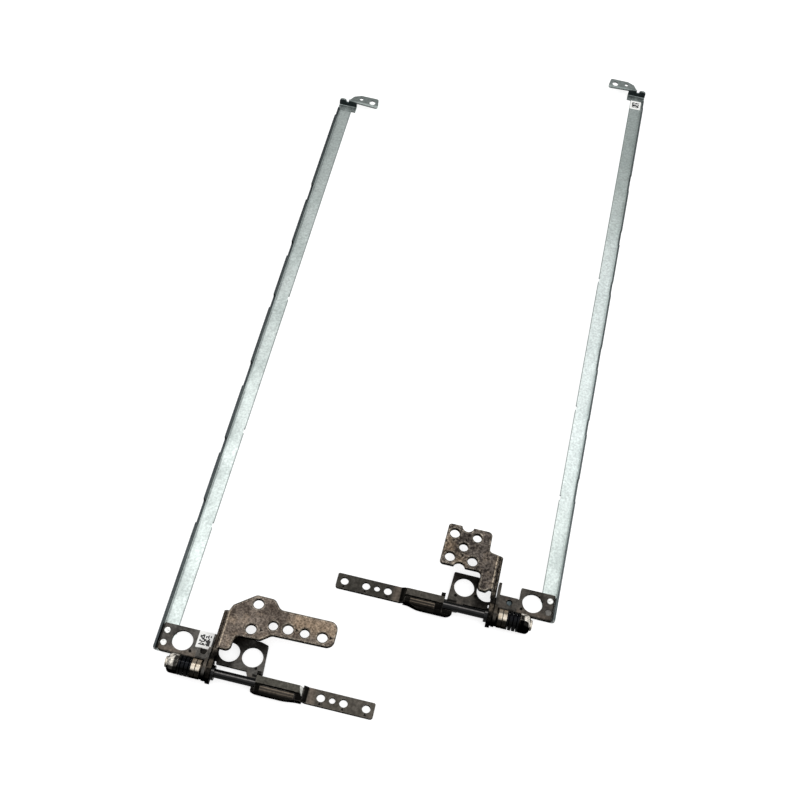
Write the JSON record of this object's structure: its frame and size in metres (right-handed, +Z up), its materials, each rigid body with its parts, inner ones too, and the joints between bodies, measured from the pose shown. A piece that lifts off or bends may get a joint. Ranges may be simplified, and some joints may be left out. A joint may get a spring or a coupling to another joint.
{
  "type": "pair of laptop hinges",
  "caption": "Left and right laptop hinges, closed: long display strips, riveted plates, friction barrels on slim shafts and folded base brackets.",
  "frame": {"origin": "centre of the outer box on the table, between the two hinges", "axes": "+X along the pivots from the left hinge to the right one, +Y from the pivots to the far ends of the display strips, +Z up from the table"},
  "size_m": [0.1094, 0.2616, 0.0076],
  "materials": {
    "zinc": "galvanised sheet, pale grey with a fine spangle",
    "dark_plate": "dark grey plated sheet, satin",
    "bronze_grey": "brown grey plated sheet, rubbed along the edges",
    "dark_shaft": "black oxide, polished by turning",
    "spring_steel": "blued spring steel",
    "nickel": "warm nickel plate, worn at the rims",
    "rivet": "bright rivet steel",
    "label": "white paper label"
  },
  "bodies": {
    "displays": {"left_strip": "zinc", "left_strip_rivets": "rivet", "left_display_plate": "dark_plate", "left_shaft_ear": "bronze_grey", "left_ear_rivet": "rivet", "left_sticker": "label", "left_spacer_washer": "bronze_grey", "left_fixed_cam": "nickel", "right_strip": "zinc", "right_strip_rivets": "rivet", "right_display_plate": "dark_plate", "right_shaft_ear": "bronze_grey", "right_ear_rivet": "rivet", "right_sticker": "label", "right_spacer_washer": "bronze_grey", "right_fixed_cam": "nickel"},
    "left_base": {"left_base_bracket": "bronze_grey", "left_shaft": "dark_shaft", "left_friction_washer": "bronze_grey", "left_moving_cam": "nickel", "left_disc_springs": "spring_steel", "left_end_washer": "nickel", "left_lock_nut": "nickel"},
    "right_base": {"right_base_bracket": "bronze_grey", "right_shaft": "dark_shaft", "right_friction_washer": "bronze_grey", "right_moving_cam": "nickel", "right_disc_springs": "spring_steel", "right_end_washer": "nickel", "right_lock_nut": "nickel"}
  },
  "joints": [
    {"name": "left_hinge", "type": "hinge", "parent": "displays", "child": "left_base", "pos_m": [-0.0379, -0.12785, 0.00288], "axis": [1, 0, 0], "range_deg": [0, 135]},
    {"name": "right_hinge", "type": "hinge", "parent": "displays", "child": "right_base", "pos_m": [0.0379, -0.09215, 0.00288], "axis": [1, 0, 0], "range_deg": [0, 135]}
  ]
}
